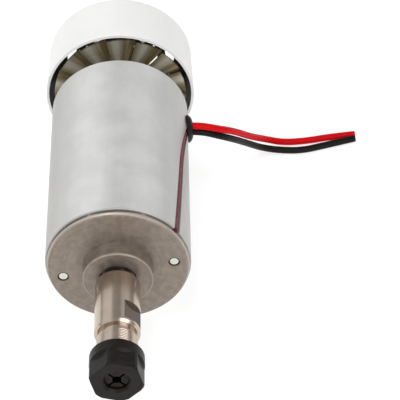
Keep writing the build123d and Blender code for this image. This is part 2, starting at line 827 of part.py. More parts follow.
# ---- Fan cover ---------------------------------------------------------------------------------
def cover_leg():
    """Moulded leg, rooted in the lip's wall, with an inward foot that stands on the rear bell."""
    outer = cover_lip_radius - cover_lip_wall / 2
    inner = outer - cover_wall
    reach = cover_lip + cover_wall
    foot_inner = cover_screw_circle - cover_screw_head_radius
    profile = turned(
        (foot_inner, rear_face), (outer, rear_face), (outer, reach), (inner, reach),
        (inner, rear_face + cover_foot_thickness * 2), (inner - cover_foot_thickness, rear_face + cover_foot_thickness),
        (foot_inner, rear_face + cover_foot_thickness),
    )
    slab = Pos(0, (rear_face + reach) / 2, outer) * Box(cover_leg_width, reach - rear_face, outer)
    hole = axial_rod(cover_screw_radius + screw_gap, cover_screw_circle, rear_face, reach)
    return (profile & slab) - hole


def grille_slots():
    """Arc slots through the cover's rear wall, in rings cut by spokes."""
    start = cover_rear - cover_rear_wall
    rings = []
    for i in range(grille_rings):
        inner = grille_hub_radius + grille_pitch * i
        rings.append(tube(inner, inner + grille_slot_width, start, cover_rear))
    reach = grille_hub_radius + grille_pitch * grille_rings
    bar = upright(reach / 2, (start + cover_rear) / 2) * Box(grille_spoke_width, cover_rear_wall, reach)
    spokes = spaced(bar, grille_spokes)
    return [cut_all(ring, spokes) for ring in rings]


def fan_cover():
    """White moulded cup over the fan, open towards the motor, with a rear grille and three legs."""
    corner = cover_corner_radius
    inner_corner = corner - cover_wall / 2
    inner_rear = cover_rear_radius - cover_wall
    inner_lip = cover_lip_radius - cover_lip_wall
    floor = cover_rear - cover_rear_wall
    with BuildPart() as cup:
        with BuildSketch(Plane.XY):
            with BuildLine():
                Line((0, cover_rear), (cover_rear_radius - corner, cover_rear))
                RadiusArc((cover_rear_radius - corner, cover_rear), (cover_rear_radius, cover_rear - corner), corner)
                Polyline(
                    (cover_rear_radius, cover_rear - corner), (cover_lip_radius, cover_lip),
                    (inner_lip, cover_lip), (inner_rear, floor - inner_corner),
                )
                RadiusArc((inner_rear, floor - inner_corner), (inner_rear - inner_corner, floor), -inner_corner)
                Polyline((inner_rear - inner_corner, floor), (0, floor), (0, cover_rear))
            make_face()
        revolve(axis=Axis.Y)
    cover = cut_all(cup.part, grille_slots())
    for leg in at_angles(cover_leg(), cover_leg_angles):
        cover += leg
    return cover


def fan_cover_screws():
    """Screws through the cover's feet into the rear bell."""
    seat = rear_face + cover_foot_thickness
    shank = axial_rod(cover_screw_radius, cover_screw_circle, seat - cover_screw_length, seat)
    head = axial_rod(cover_screw_head_radius, cover_screw_circle, seat, seat + cover_screw_head_height)
    return group(at_angles(shank + head, cover_leg_angles))


# ---- Grommet and leads ---------------------------------------------------------------------------
def lead_offsets():
    """Sideways places of the red and the black lead in the grommet."""
    return (-grommet_lead_spacing / 2, grommet_lead_spacing / 2)


def grommet_top():
    """Distance of the grommet's crown from the spindle axis."""
    return sleeve_radius + grommet_height


def lead_grommet():
    """Domed rubber grommet with two bores, seated in the sleeve's hole."""
    rim = sleeve_radius + grommet_rim_height
    neck = grommet_hole_radius - seat_gap
    with BuildPart() as plug:
        with BuildSketch(Plane.XZ):
            with BuildLine():
                Polyline(
                    (0, grommet_top()), (0, can_radius), (neck, can_radius), (neck, sleeve_radius - sleeve_wall / 2),
                    (grommet_flange_radius, sleeve_radius - sleeve_wall / 2), (grommet_flange_radius, rim),
                )
                Spline(
                    (grommet_flange_radius, rim), (grommet_crown_radius, grommet_top()), tangents=((-1, 2), (-1, 0)),
                )
                Line((grommet_crown_radius, grommet_top()), (0, grommet_top()))
            make_face()
        revolve(axis=Axis.Z)
    barrel = rod(sleeve_radius, 0, sleeve_rear)
    neck_core = Cylinder(neck, sleeve_radius * 2)
    flange = (grommet_axis() * plug.part) - (barrel - grommet_axis() * neck_core)
    bores = []
    for offset in lead_offsets():
        hole = Cylinder(lead_radius + seat_gap, grommet_bore_depth * 2)
        bores.append(grommet_axis() * Pos(offset, 0, grommet_top()) * hole)
    return cut_all(flange, bores)


def lead_point(offset, run):
    """Point on the axis of one of the grommet's bores, a distance above the bore's bottom."""
    place = grommet_axis() * Pos(offset, 0, grommet_top() - grommet_bore_depth + run)
    return tuple(place.position)


def swept_lead(name, points):
    """Round lead along straight runs joined by tangent arcs as large as the runs allow."""
    corners = [Vector(*point) for point in points]
    radii = []
    for before, here, after in zip(corners, corners[1:], corners[2:]):
        arriving = here - before
        leaving = after - here
        turn = radians(arriving.get_angle(leaving))
        radii.append(0.45 * min(arriving.length, leaving.length) / tan(turn / 2))
    path = FilletPolyline(*corners, radius=radii)
    start = Plane(origin=corners[0], z_dir=(corners[1] - corners[0]))
    lead = sweep(start * Circle(lead_radius), path=path)
    section = pi * lead_radius ** 2
    print(name, "radii", [round(radius, 1) for radius in radii], "length", round(path.length, 1),
          "volume ratio", round(lead.volume / (section * path.length), 4))
    return lead


def free_lead(name, offset, route):
    """Free lead from its bore in the grommet to its bare end."""
    return swept_lead(name, (lead_point(offset, 0), lead_point(offset, grommet_exit_run)) + route)


def red_lead_in_slot():
    """Red lead laid flush in the lead slot, from the front bell to the grommet."""
    centre_radius = sleeve_radius - lead_radius - seat_gap
    corners = []
    for sideways, station in (slot_place(slot_lead_front), slot_corner, slot_end()):
        corners.append(Vector(sideways, station, (centre_radius ** 2 - sideways ** 2) ** 0.5))
    corners[1] += Vector(0, 0, slot_lead_rise)
    path = FilletPolyline(*corners, radius=slot_bend_radius)
    start = Plane(origin=corners[0], z_dir=corners[1] - corners[0])
    lead = sweep(start * Circle(lead_radius), path=path)
    return (round_about_axis(slot_plane_angle) * lead) - grommet_hole(grommet_hole_radius)


# ---- Export --------------------------------------------------------------------------------------
def build_nodes():
    """Every node of the spindle by name."""
    red_offset, black_offset = lead_offsets()
    nodes = {
        "flux_sleeve": flux_sleeve(),
        "motor_can": motor_can(),
        "field_magnets": field_magnets(),
        "front_bell": front_bell(),
        "rear_bell": rear_bell(),
        "through_bolts": through_bolts(),
        "bolt_washers": bolt_washers(),
        "bearing_wave_washer": wave_washer(),
        "spindle_shaft": spindle_shaft(),
        "collet_chuck": collet_chuck(),
        "armature_core": armature_core(),
        "armature_windings": armature_windings(),
        "commutator_hub": commutator_hub(),
        "commutator_bars": commutator_segments(),
        "shaft_spacers": shaft_spacers(),
        "brush_card": brush_card(),
        "brush_holders": brush_holders(),
        "brush_terminals": brush_terminals(),
        "collet": collet(),
        "collet_nut": collet_nut(),
        "cooling_fan": cooling_fan(),
        "fan_bush": fan_bush(),
        "fan_washer": fan_washer(),
        "fan_nut": fan_nut(),
        "fan_cover": fan_cover(),
        "fan_cover_screws": fan_cover_screws(),
        "lead_grommet": lead_grommet(),
        "red_lead_in_slot": red_lead_in_slot(),
        "red_lead": free_lead("red_lead", red_offset, red_lead_route),
        "black_lead": free_lead("black_lead", black_offset, black_lead_route),
    }
    for side, start in (("front", front_bearing_front), ("rear", rear_bearing_front)):
        nodes[side + "_bearing_outer_ring"] = bearing_outer_ring(start)
        nodes[side + "_bearing_inner_ring"] = bearing_inner_ring(start)
        nodes[side + "_bearing_balls"] = bearing_balls(start)
        nodes[side + "_bearing_cage"] = bearing_cage(start)
        nodes[side + "_bearing_shields"] = bearing_shields(start)
    for side, angle in (("upper", 0), ("lower", 180)):
        nodes[side + "_brush"] = brush(angle)
        nodes[side + "_brush_spring"] = brush_spring(angle)
    return nodes


if __name__ == "__main__":
    os.makedirs("parts", exist_ok=True)
    for node_name, shape in build_nodes().items():
        export_step(shape, "parts/" + node_name + ".step")
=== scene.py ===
"""Dresses the motor spindle: a finish for every part, the two free leads and the chuck's thread.

Sizes are in millimetres and angles in degrees, unless a name says otherwise.
"""
import logging
import math
from dataclasses import dataclass
from enum import Enum
from typing import ClassVar, Optional, Sequence, Union

import bmesh
import bpy
from mathutils import Matrix, Vector


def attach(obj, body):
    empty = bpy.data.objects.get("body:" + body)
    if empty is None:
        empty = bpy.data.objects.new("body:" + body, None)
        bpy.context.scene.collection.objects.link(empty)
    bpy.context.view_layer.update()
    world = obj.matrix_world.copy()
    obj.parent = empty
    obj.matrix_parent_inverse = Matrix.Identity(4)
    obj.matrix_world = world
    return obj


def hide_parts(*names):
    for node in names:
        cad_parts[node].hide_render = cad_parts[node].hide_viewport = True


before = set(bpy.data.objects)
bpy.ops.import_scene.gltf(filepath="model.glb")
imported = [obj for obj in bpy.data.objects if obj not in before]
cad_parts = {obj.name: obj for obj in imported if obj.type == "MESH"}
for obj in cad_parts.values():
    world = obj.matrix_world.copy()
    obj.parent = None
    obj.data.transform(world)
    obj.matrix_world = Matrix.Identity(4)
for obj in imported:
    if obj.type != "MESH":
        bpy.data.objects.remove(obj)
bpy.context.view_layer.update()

LOG = logging.getLogger("motor_spindle")
MM = 0.001

# New meshes: corners this close together in millimetres are one, edges past this angle stay sharp.
WELD = 1e-4
CREASE = 30.0

# The display curve that a colour given from 0 to 255 is written in.
BYTE_MAX = 255
CURVE_KNEE = 0.04045
CURVE_SLOPE = 12.92
CURVE_OFFSET = 0.055
CURVE_POWER = 2.4

# Sockets of a Mix node that share their names with its other data types.
MIX_SHARE = 0
MIX_FIRST = 6
MIX_SECOND = 7
MIX_RESULT = 2

Point = tuple[float, float, float]
Colour = tuple[float, float, float]
Number = Union[float, "Value"]


def tint(red: int, green: int, blue: int) -> Colour:
    """Turns a display colour into scene-linear light.

    Args:
        red: Red from 0 to 255.
        green: Green from 0 to 255.
        blue: Blue from 0 to 255.

    Returns:
        The linear colour.
    """
    def linear(channel: int) -> float:
        """One channel as linear light."""
        share = channel / BYTE_MAX
        if share <= CURVE_KNEE:
            return share / CURVE_SLOPE
        return ((share + CURVE_OFFSET) / (1 + CURVE_OFFSET)) ** CURVE_POWER
    return (linear(red), linear(green), linear(blue))


class Grain(Enum):
    """The way a finish's fine lines run on its part."""

    NONE = "none"
    ALONG = "along the spindle axis"
    ROUND = "round the spindle axis"
    RADIAL = "out from the spindle axis"


class Value:
    """A number inside a material, used in plain Python expressions."""

    def __init__(self, bench: "Bench", socket: bpy.types.NodeSocket) -> None:
        """Keeps the socket that gives the number.

        Args:
            bench: The material being built.
            socket: The output socket.
        """
        self.bench = bench
        self.socket = socket

    def _maths(self, operation: str, first: Number, second: Number = 0.0) -> "Value":
        """Adds one Math node.

        Args:
            operation: The Math node's operation.
            first: Its first number.
            second: Its second number.

        Returns:
            The result.
        """
        node = self.bench.node("ShaderNodeMath", {"operation": operation}, {0: first, 1: second})
        return Value(self.bench, node.outputs[0])

    def __add__(self, other: Number) -> "Value":
        """Sum."""
        return self._maths("ADD", self, other)

    __radd__ = __add__

    def __sub__(self, other: Number) -> "Value":
        """Difference."""
        return self._maths("SUBTRACT", self, other)

    def __rsub__(self, other: Number) -> "Value":
        """Difference with the number on the left."""
        return self._maths("SUBTRACT", other, self)

    def __mul__(self, other: Number) -> "Value":
        """Product."""
        return self._maths("MULTIPLY", self, other)

    __rmul__ = __mul__

    def __truediv__(self, other: Number) -> "Value":
        """Quotient."""
        return self._maths("DIVIDE", self, other)

    def __rtruediv__(self, other: Number) -> "Value":
        """Quotient with the number on the left."""
        return self._maths("DIVIDE", other, self)

    def root(self) -> "Value":
        """Square root."""
        return self._maths("SQRT", self)

    def angle(self, other: "Value") -> "Value":
        """Angle of the point (other, self) in radians."""
        return self._maths("ARCTAN2", self, other)

    def wave(self) -> "Value":
        """Cosine."""
        return self._maths("COSINE", self)

    def clear(self, low: float, high: float) -> "Value":
        """Rises from 0 at low to 1 at high.

        Args:
            low: Where the result is 0.
            high: Where the result is 1.

        Returns:
            The eased share.
        """
        node = self.bench.node(
            "ShaderNodeMapRange", {"interpolation_type": "SMOOTHSTEP"},
            {"Value": self, "From Min": low, "From Max": high},
        )
        return Value(self.bench, node.outputs[0])


class Bench:
    """A material's node tree, where every node comes from one method."""

    def __init__(self, name: str, tree: Optional[bpy.types.NodeTree] = None) -> None:
        """Starts an empty material, or clears a given node tree.

        Args:
            name: The material's name.
            tree: A node tree to fill instead of a new material's.
        """
        self.material = None
        if tree is None:
            self.material = bpy.data.materials.new(name)
            self.material.use_nodes = True
            tree = self.material.node_tree
        self.tree = tree
        self.tree.nodes.clear()

    def node(self, kind: str, settings: Optional[dict] = None,
             sockets: Optional[dict] = None) -> bpy.types.Node:
        """Adds a node.

        Args:
            kind: The node's type.
            settings: Properties set first, with a ramp's stops under "stops".
            sockets: Values, colours or links of its inputs, by name or number.

        Returns:
            The node.
        """
        node = self.tree.nodes.new(kind)
        for key, value in (settings or {}).items():
            if key == "stops":
                self._stops(node.color_ramp, value)
            else:
                setattr(node, key, value)
        for key, value in (sockets or {}).items():
            socket = node.inputs[key]
            if isinstance(value, Value):
                self.tree.links.new(value.socket, socket)
            elif isinstance(value, bpy.types.NodeSocket):
                self.tree.links.new(value, socket)
            elif isinstance(value, tuple) and socket.type == "RGBA":
                socket.default_value = (*value[:3], 1.0)
            else:
                socket.default_value = value
        return node

    def _stops(self, ramp: bpy.types.ColorRamp, stops: Sequence[tuple[float, Colour]]) -> None:
        """Sets a ramp's stops.

        Args:
            ramp: The ramp.
            stops: Places and colours, in order.
        """
        while len(ramp.elements) < len(stops):
            ramp.elements.new(0.5)
        for element, (place, colour) in zip(ramp.elements, stops):
            element.position = place
            element.color = (*colour, 1.0)

    def place(self) -> bpy.types.NodeSocket:
        """Place on the object, in millimetres."""
        where = self.node("ShaderNodeTexCoord")
        scaled = self.node(
            "ShaderNodeVectorMath", {"operation": "SCALE"}, {0: where.outputs["Object"], "Scale": 1 / MM}
        )
        return scaled.outputs[0]

    def parts(self, vector: bpy.types.NodeSocket) -> tuple[Value, Value, Value]:
        """The three numbers of a vector."""
        split = self.node("ShaderNodeSeparateXYZ", None, {0: vector})
        return tuple(Value(self, split.outputs[i]) for i in range(3))

    def join(self, x: Number, y: Number, z: Number) -> bpy.types.NodeSocket:
        """A vector from three numbers."""
        return self.node("ShaderNodeCombineXYZ", None, {0: x, 1: y, 2: z}).outputs[0]

    def noise(self, vector: bpy.types.NodeSocket, scale: float, detail: float = 3.0,
              rough: float = 0.55) -> Value:
        """Soft noise from 0 to 1.

        Args:
            vector: Where to read it.
            scale: Cells for each unit.
            detail: Octaves.
            rough: Weight of the finer octaves.

        Returns:
            The noise.
        """
        node = self.node(
            "ShaderNodeTexNoise", None,
            {"Vector": vector, "Scale": scale, "Detail": detail, "Roughness": rough},
        )
        return Value(self, node.outputs[0])

    def mix(self, share: Number, first: Union[Colour, bpy.types.NodeSocket],
            second: Union[Colour, bpy.types.NodeSocket]) -> bpy.types.NodeSocket:
        """Mixes two colours.

        Args:
            share: Share of the second colour.
            first: First colour.
            second: Second colour.

        Returns:
            The mixed colour.
        """
        node = self.node(
            "ShaderNodeMix", {"data_type": "RGBA", "clamp_factor": True},
            {MIX_SHARE: share, MIX_FIRST: first, MIX_SECOND: second},
        )
        return node.outputs[MIX_RESULT]

    def finish(self, colour: Union[Colour, bpy.types.NodeSocket], roughness: Number, metallic: Number,
               normal: Optional[bpy.types.NodeSocket] = None,
               plain: Optional[dict] = None) -> bpy.types.Material:
        """Closes the material with its shader.

        Args:
            colour: Base colour.
            roughness: Roughness.
            metallic: Share of bare metal.
            normal: Bumped normal, if any.
            plain: Sockets that are the same all over.

        Returns:
            The material.
        """
        sockets = {"Base Color": colour, "Roughness": roughness, "Metallic": metallic}
        if normal is not None:
            sockets["Normal"] = normal
        sockets.update(plain or {})
        shader = self.node("ShaderNodeBsdfPrincipled", None, sockets)
        self.node("ShaderNodeOutputMaterial", None, {"Surface": shader.outputs[0]})
        return self.material

    def bump(self, height: Value, depth: float) -> bpy.types.NodeSocket:
        """Bumped normal.

        Args:
            height: Height from 0 to 1.
            depth: Depth in millimetres.

        Returns:
            The normal.
        """
        node = self.node("ShaderNodeBump", None, {"Height": height, "Distance": depth * MM, "Strength": 1.0})
        return node.outputs[0]


@dataclass(frozen=True)
class Finish:
    """A surface finish: body colour, blotches, fine lines, painted light and shade, and relief."""

    name: str
    colour: Colour
    other: Colour
    roughness: float = 0.45
    metallic: float = 0.0
    blotch_size: float = 9.0
    blotch: float = 0.5
    grain: Grain = Grain.NONE
    grain_size: float = 0.35
    grain_share: float = 0.35
    relief: float = 0.0
    relief_size: float = 0.4
    gloss_spread: float = 0.08
    coat: float = 0.0
    shine: float = 0.5

    # How the lines, blotches, specks and painted light and shade are drawn, the same on every finish.
    axis_guard: ClassVar[float] = 0.001
    along_stretch: ClassVar[float] = 0.03
    round_drift: ClassVar[float] = 0.02
    radial_drift: ClassVar[float] = 0.05
    spokes: ClassVar[float] = 14
    line_octaves: ClassVar[float] = 4.0
    line_rough: ClassVar[float] = 0.65
    turned_rough: ClassVar[float] = 0.6
    blotch_octaves: ClassVar[float] = 4.0
    blotch_rough: ClassVar[float] = 0.6
    blotch_low: ClassVar[float] = 0.35
    blotch_high: ClassVar[float] = 0.65
    speck_octaves: ClassVar[float] = 2.0
    speck_rough: ClassVar[float] = 0.5
    speck_share: ClassVar[float] = 0.25
    painted_least: ClassVar[float] = 0.75
    painted_speck: ClassVar[float] = 0.3
    coat_roughness: ClassVar[float] = 0.15

    def lines(self, bench: Bench) -> Value:
        """Fine lines of the finish.

        Args:
            bench: The material being built.

        Returns:
            Line strength from 0 to 1.
        """
        x, y, z = bench.parts(bench.place())
        radius = (x * x + z * z).root() + self.axis_guard
        pitch = 1 / self.grain_size
        if self.grain is Grain.ALONG:
            drawn = bench.join(x * pitch, y * (pitch * self.along_stretch), z * pitch)
            return bench.noise(drawn, 1.0, self.line_octaves, self.line_rough)
        if self.grain is Grain.ROUND:
            turned = bench.join(radius * pitch, y * pitch, x * self.round_drift)
            return bench.noise(turned, 1.0, self.line_octaves, self.turned_rough)
        round_pitch = self.spokes * pitch
        brushed = bench.join(x / radius * round_pitch, z / radius * round_pitch, radius * self.radial_drift)
        return bench.noise(brushed, 1.0, self.line_octaves, self.line_rough)

    def painted_zone(self, bench: Bench) -> Optional[tuple[Value, Colour]]:
        """The mask and colour of a zone of painted highlight and shade, on finishes that have one."""
        return None

    def material(self) -> bpy.types.Material:
        """Builds the finish's material.

        Returns:
            The material.
        """
        bench = Bench(self.name)
        place = bench.place()
        cloud = bench.noise(place, 1 / self.blotch_size, self.blotch_octaves, self.blotch_rough)
        blotch = cloud.clear(self.blotch_low, self.blotch_high)
        share = blotch * self.blotch
        lines = None if self.grain is Grain.NONE else self.lines(bench)
        if lines is not None:
            share = share + (lines - 0.5) * (2 * self.grain_share)
        speck = bench.noise(place, 1 / self.relief_size, self.speck_octaves, self.speck_rough)
        share = share + (speck - 0.5) * self.speck_share
        colour = bench.mix(share, self.colour, self.other)
        # Painted light and shade: each finish's zone mixes its painted highlight and shade into the colour.
        painted_zone = self.painted_zone(bench)
        if painted_zone is not None:
            mask, painted_colour = painted_zone
            colour = bench.mix(mask * (self.painted_least + speck * self.painted_speck), colour, painted_colour)
        roughness = self.roughness + (blotch - 0.5) * self.gloss_spread + (speck - 0.5) * self.gloss_spread
        normal = None
        if self.relief > 0:
            height = speck if lines is None else speck * 0.5 + lines * 0.5
            normal = bench.bump(height, self.relief)
        plain = {"Specular IOR Level": self.shine}
        if self.coat:
            plain.update({"Coat Weight": self.coat, "Coat Roughness": self.coat_roughness})
        return bench.finish(colour, roughness, self.metallic, normal, plain)


@dataclass(frozen=True)
class ShadedInside(Finish):
    """A moulding whose inner wall is painted dark as shade."""

    # Painted shade: the dark colour of the wall inside the cover.
    inside_shade: Colour = tint(50, 47, 41)
    lip: float = 97.6
    lip_radius: float = 28.7
    taper: float = 0.7
    length: float = 25.4
    skin: float = 0.35
    skin_fade: float = 0.15
    lip_clean: float = 0.05
    lip_fade: float = 0.25
    shade_end: float = 121.4
    end_fade: float = 0.2

    def painted_zone(self, bench: Bench) -> Optional[tuple[Value, Colour]]:
        """Painted shade on the wall inside, from just behind the lip to the grille.

        Args:
            bench: The material being built.

        Returns:
            The painted shade's mask and colour.
        """
        x, y, z = bench.parts(bench.place())
        outside = self.lip_radius - (y - self.lip) * (self.taper / self.length)
        depth = outside - (x * x + z * z).root()
        inside = depth.clear(self.skin, self.skin + self.skin_fade)
        shade_start = self.lip + self.lip_clean
        behind_lip = y.clear(shade_start, shade_start + self.lip_fade)
        ahead_of_grille = 1 - y.clear(self.shade_end, self.shade_end + self.end_fade)
        return inside * behind_lip * ahead_of_grille, self.inside_shade


@dataclass(frozen=True)
class ShadedFlats(Finish):
    """A turned part with painted shade on its two milled wrench flats."""

    # Painted shade: the darker colour painted on the two wrench flats.
    flat: Colour = tint(62, 49, 43)
    turn: float = 52.0
    distance: float = 6.75
    front: float = -32.3
    rear: float = -23.9
    end_fade: float = 0.05
    level_slack: float = 0.01
    level_fade: float = 0.02

    def painted_zone(self, bench: Bench) -> Optional[tuple[Value, Colour]]:
        """Painted shade on the two milled flats.

        Args:
            bench: The material being built.

        Returns:
            The painted shade's mask and colour.
        """
        x, y, z = bench.parts(bench.place())
        across = x * math.sin(math.radians(self.turn)) + z * math.cos(math.radians(self.turn))
        away = (across * across).root()
        low = self.distance - self.level_slack
        high = self.distance + self.level_slack
        level = away.clear(low - self.level_fade, low) * (1 - away.clear(high, high + self.level_fade))
        ahead = 1 - y.clear(self.rear, self.rear + self.end_fade)
        milled = y.clear(self.front - self.end_fade, self.front) * ahead
        return level * milled, self.flat


@dataclass(frozen=True)
class HighlitEdges(Finish):
    """A casting with a painted highlight along its rim and its boss edge."""

    # Painted highlight: the light colour on the rim, its side wall and the boss edge.
    edge_highlight: Colour = tint(206, 192, 182)
    rim: float = 25.1
    rim_inset: float = 0.5
    rim_rear: float = 2.0
    rim_highlight: float = 0.7
    boss: float = 12.1
    boss_face: float = -5.7
    boss_highlight: float = 0.3
    fade: float = 0.3

    def painted_zone(self, bench: Bench) -> Optional[tuple[Value, Colour]]:
        """The painted edge highlights.

        Args:
            bench: The material being built.

        Returns:
            The highlights' mask and colour.
        """
        x, y, z = bench.parts(bench.place())
        radius = (x * x + z * z).root()
        rim = radius.clear(self.rim - self.rim_inset, self.rim + self.fade)
        rim = rim * (1 - y.clear(self.rim_rear, self.rim_rear + self.fade))
        boss = radius.clear(self.boss, self.boss + self.fade)
        boss = boss * (1 - y.clear(self.boss_face, self.boss_face + self.fade))
        return rim * self.rim_highlight + boss * self.boss_highlight, self.edge_highlight


@dataclass(frozen=True)
class ShadedSides(Finish):
    """A plated tube with painted shade on its sides and at its cut edge at the front."""

    # Painted shade: darker towards both sides of the tube, and at its front edge.
    side_shade: Colour = tint(172, 171, 168)
    unshaded_half: float = 14.0
    shaded_half: float = 25.0
    edge: float = 2.55
    edge_fade: float = 0.4

    def painted_zone(self, bench: Bench) -> Optional[tuple[Value, Colour]]:
        """The painted shade zones.

        Args:
            bench: The material being built.

        Returns:
            The painted shade's mask and colour.
        """
        x, y, _ = bench.parts(bench.place())
        sides = (x * x).root().clear(self.unshaded_half, self.shaded_half)
        edge = 1 - y.clear(self.edge, self.edge + self.edge_fade)
        return sides * (1 - edge) + edge, self.side_shade


@dataclass(frozen=True)
class HighlitBlades(Finish):
    """Sheet blades with a painted highlight towards one edge of each."""

    # Painted highlight: the light colour swept over one side of every blade.
    blade_highlight: Colour = tint(255, 252, 240)
    blades: int = 14
    lead_radians: float = 0.6
    highlight_share: float = 0.55

    def painted_zone(self, bench: Bench) -> Optional[tuple[Value, Colour]]:
        """The painted highlight on one side of every blade.

        Args:
            bench: The material being built.

        Returns:
            The painted highlight's mask and colour.
        """
        x, _, z = bench.parts(bench.place())
        sweep = (x.angle(z) * self.blades + self.lead_radians).wave() * 0.5 + 0.5
        return sweep * sweep * self.highlight_share, self.blade_highlight


# The sleeve carries painted shade on its sides and at its front edge.
SLEEVE_ZINC = ShadedSides(
    "sleeve_zinc", tint(213, 213, 211), tint(227, 227, 225), roughness=0.42, metallic=0.55,
    blotch_size=14.0, blotch=0.7, grain=Grain.ALONG, grain_size=2.6, relief=0.006, relief_size=0.9,
)
CAN_STEEL = Finish(
    "can_steel", tint(150, 150, 150), tint(172, 172, 170), roughness=0.4, metallic=0.9, blotch_size=6.0,
    grain=Grain.ROUND, grain_size=0.3, grain_share=0.3,
)
# The bells carry a painted highlight on their rim and boss edges.
BELL_CASTING = HighlitEdges(
    "bell_casting", tint(130, 119, 109), tint(161, 150, 139), roughness=0.46, metallic=0.6,
    blotch_size=3.0, grain=Grain.ROUND, grain_size=0.3, grain_share=0.7, relief=0.02, relief_size=0.35,
    gloss_spread=0.12,
)
# The chuck's wrench flats carry painted shade.
CHUCK_STEEL = ShadedFlats(
    "chuck_steel", tint(186, 171, 157), tint(204, 190, 175), roughness=0.2, metallic=1.0,
    blotch_size=6.0, blotch=0.35, grain=Grain.ROUND, grain_size=0.15, grain_share=0.2, relief=0.002,
    relief_size=0.2, gloss_spread=0.03,
)
NUT_OXIDE = Finish(
    "nut_black_oxide", tint(15, 11, 9), tint(31, 25, 22), roughness=0.4, blotch_size=3.0, blotch=0.6,
    grain=Grain.ROUND, grain_size=0.3, grain_share=0.3, relief=0.006, relief_size=0.25, shine=0.2,
)
# Painted shade: the collet is coloured dark as shade inside the nut's mouth.
SHADED_COLLET_STEEL = Finish(
    "shaded_collet_steel", tint(36, 33, 31), tint(66, 61, 57), roughness=0.36, metallic=1.0,
    blotch_size=3.0, grain=Grain.ALONG, grain_size=0.2, grain_share=0.4, relief=0.003,
)
# The fan's blades carry a painted highlight.
FAN_METAL = HighlitBlades(
    "fan_brushed_sheet", tint(124, 112, 76), tint(244, 232, 200), roughness=0.32, metallic=0.5,
    blotch_size=7.0, blotch=0.08, grain=Grain.RADIAL, grain_size=1.3, grain_share=0.95, relief=0.004,
    relief_size=0.15,
)
# The cover's inner wall carries painted shade, dark in the gap round the fan.
COVER_PLASTIC = ShadedInside(
    "cover_white_plastic", tint(240, 240, 238), tint(234, 234, 232), roughness=0.42, blotch_size=12.0,
    relief=0.01, relief_size=0.5,
)
RED_SHEATH = Finish(
    "red_sheath", tint(208, 3, 14), tint(188, 2, 10), roughness=0.44, blotch_size=4.0, relief=0.01,
    relief_size=0.6, shine=0.1,
)
# Painted shade: a darker copy of the red sheath for the lead lying in the sleeve's slot, mottled towards
# pink.
SLOT_SHADED_RED_SHEATH = Finish(
    "slot_shaded_red_sheath", tint(92, 16, 34), tint(128, 62, 72), roughness=0.6, blotch_size=1.5, blotch=0.9,
    relief=0.02,
)
BLACK_SHEATH = Finish(
    "black_sheath", tint(10, 9, 9), tint(18, 16, 16), roughness=0.42, blotch_size=4.0, relief=0.01,
    relief_size=0.6, shine=0.16,
)
GROMMET_RUBBER = Finish(
    "grommet_rubber", tint(12, 11, 11), tint(24, 22, 22), roughness=0.5, blotch_size=2.0, blotch=0.6,
    relief=0.02, shine=0.2,
)
BOLT_ZINC = Finish(
    "bolt_zinc", tint(206, 210, 198), tint(228, 231, 222), roughness=0.35, metallic=0.8,
    blotch_size=1.5, blotch=0.7, grain=Grain.ROUND, grain_size=0.2, grain_share=0.3,
)
BEARING_CHROME = Finish(
    "bearing_chrome", tint(190, 190, 190), tint(204, 204, 204), roughness=0.16, metallic=1.0,
    blotch_size=4.0, blotch=0.3,
)
# Painted shade: the bearing shields and cages are coloured dark as shade in the bearing recess.
SHADED_SHIELD_STEEL = Finish(
    "shield_steel", tint(60, 56, 52), tint(84, 80, 76), roughness=0.4, metallic=0.7, blotch_size=3.0,
    blotch=0.4, grain=Grain.ROUND, grain_size=0.2, grain_share=0.4,
)
SPRING_STEEL = Finish(
    "spring_steel", tint(140, 140, 140), tint(160, 160, 160), roughness=0.3, metallic=1.0,
    blotch_size=2.0, blotch=0.4,
)
FERRITE = Finish(
    "ferrite", tint(52, 52, 55), tint(66, 66, 68), roughness=0.7, blotch_size=3.0, blotch=0.6,
    relief=0.03,
)
CARD_LAMINATE = Finish(
    "card_laminate", tint(150, 104, 60), tint(170, 122, 74), roughness=0.55, blotch_size=4.0,
    blotch=0.6, relief=0.02,
)
BRASS_STRIP = Finish(
    "brass_strip", tint(186, 152, 86), tint(206, 174, 106), roughness=0.3, metallic=1.0,
    blotch_size=3.0, grain=Grain.ALONG, grain_size=0.3, grain_share=0.3,
)
BRUSH_CARBON = Finish(
    "brush_carbon", tint(48, 47, 50), tint(62, 61, 64), roughness=0.6, metallic=0.1, blotch_size=1.5,
    blotch=0.6, relief=0.02,
)
WINDING_VARNISH = Finish(
    "winding_varnish", tint(150, 74, 36), tint(186, 104, 56), roughness=0.3, metallic=0.5,
    blotch_size=2.0, blotch=0.7, grain=Grain.ALONG, grain_size=0.5, grain_share=0.7, relief=0.2,
    relief_size=0.5, coat=0.4,
)
STACKED_SHEET = Finish(
    "stacked_sheet_steel", tint(96, 98, 102), tint(128, 130, 134), roughness=0.4, metallic=0.9,
    blotch_size=3.0, blotch=0.4, grain=Grain.ROUND, grain_size=0.5, grain_share=0.7, relief=0.03,
    relief_size=0.3,
)
BAR_COPPER = Finish(
    "bar_copper", tint(196, 124, 92), tint(168, 96, 66), roughness=0.28, metallic=1.0, blotch_size=2.0,
    blotch=0.6, grain=Grain.ROUND, grain_size=0.15, grain_share=0.4,
)
HUB_PHENOLIC = Finish(
    "hub_phenolic", tint(62, 40, 28), tint(80, 54, 38), roughness=0.5, blotch_size=2.0, relief=0.01,
)
# Painted shade: the shaft is coloured dark as shade in the gap between the boss and the chuck.
SHADED_SHAFT_STEEL = Finish(
    "shaded_shaft_steel", tint(66, 61, 57), tint(88, 83, 78), roughness=0.42, metallic=1.0,
    blotch_size=4.0, blotch=0.4, grain=Grain.ROUND, grain_size=0.12, grain_share=0.3,
)


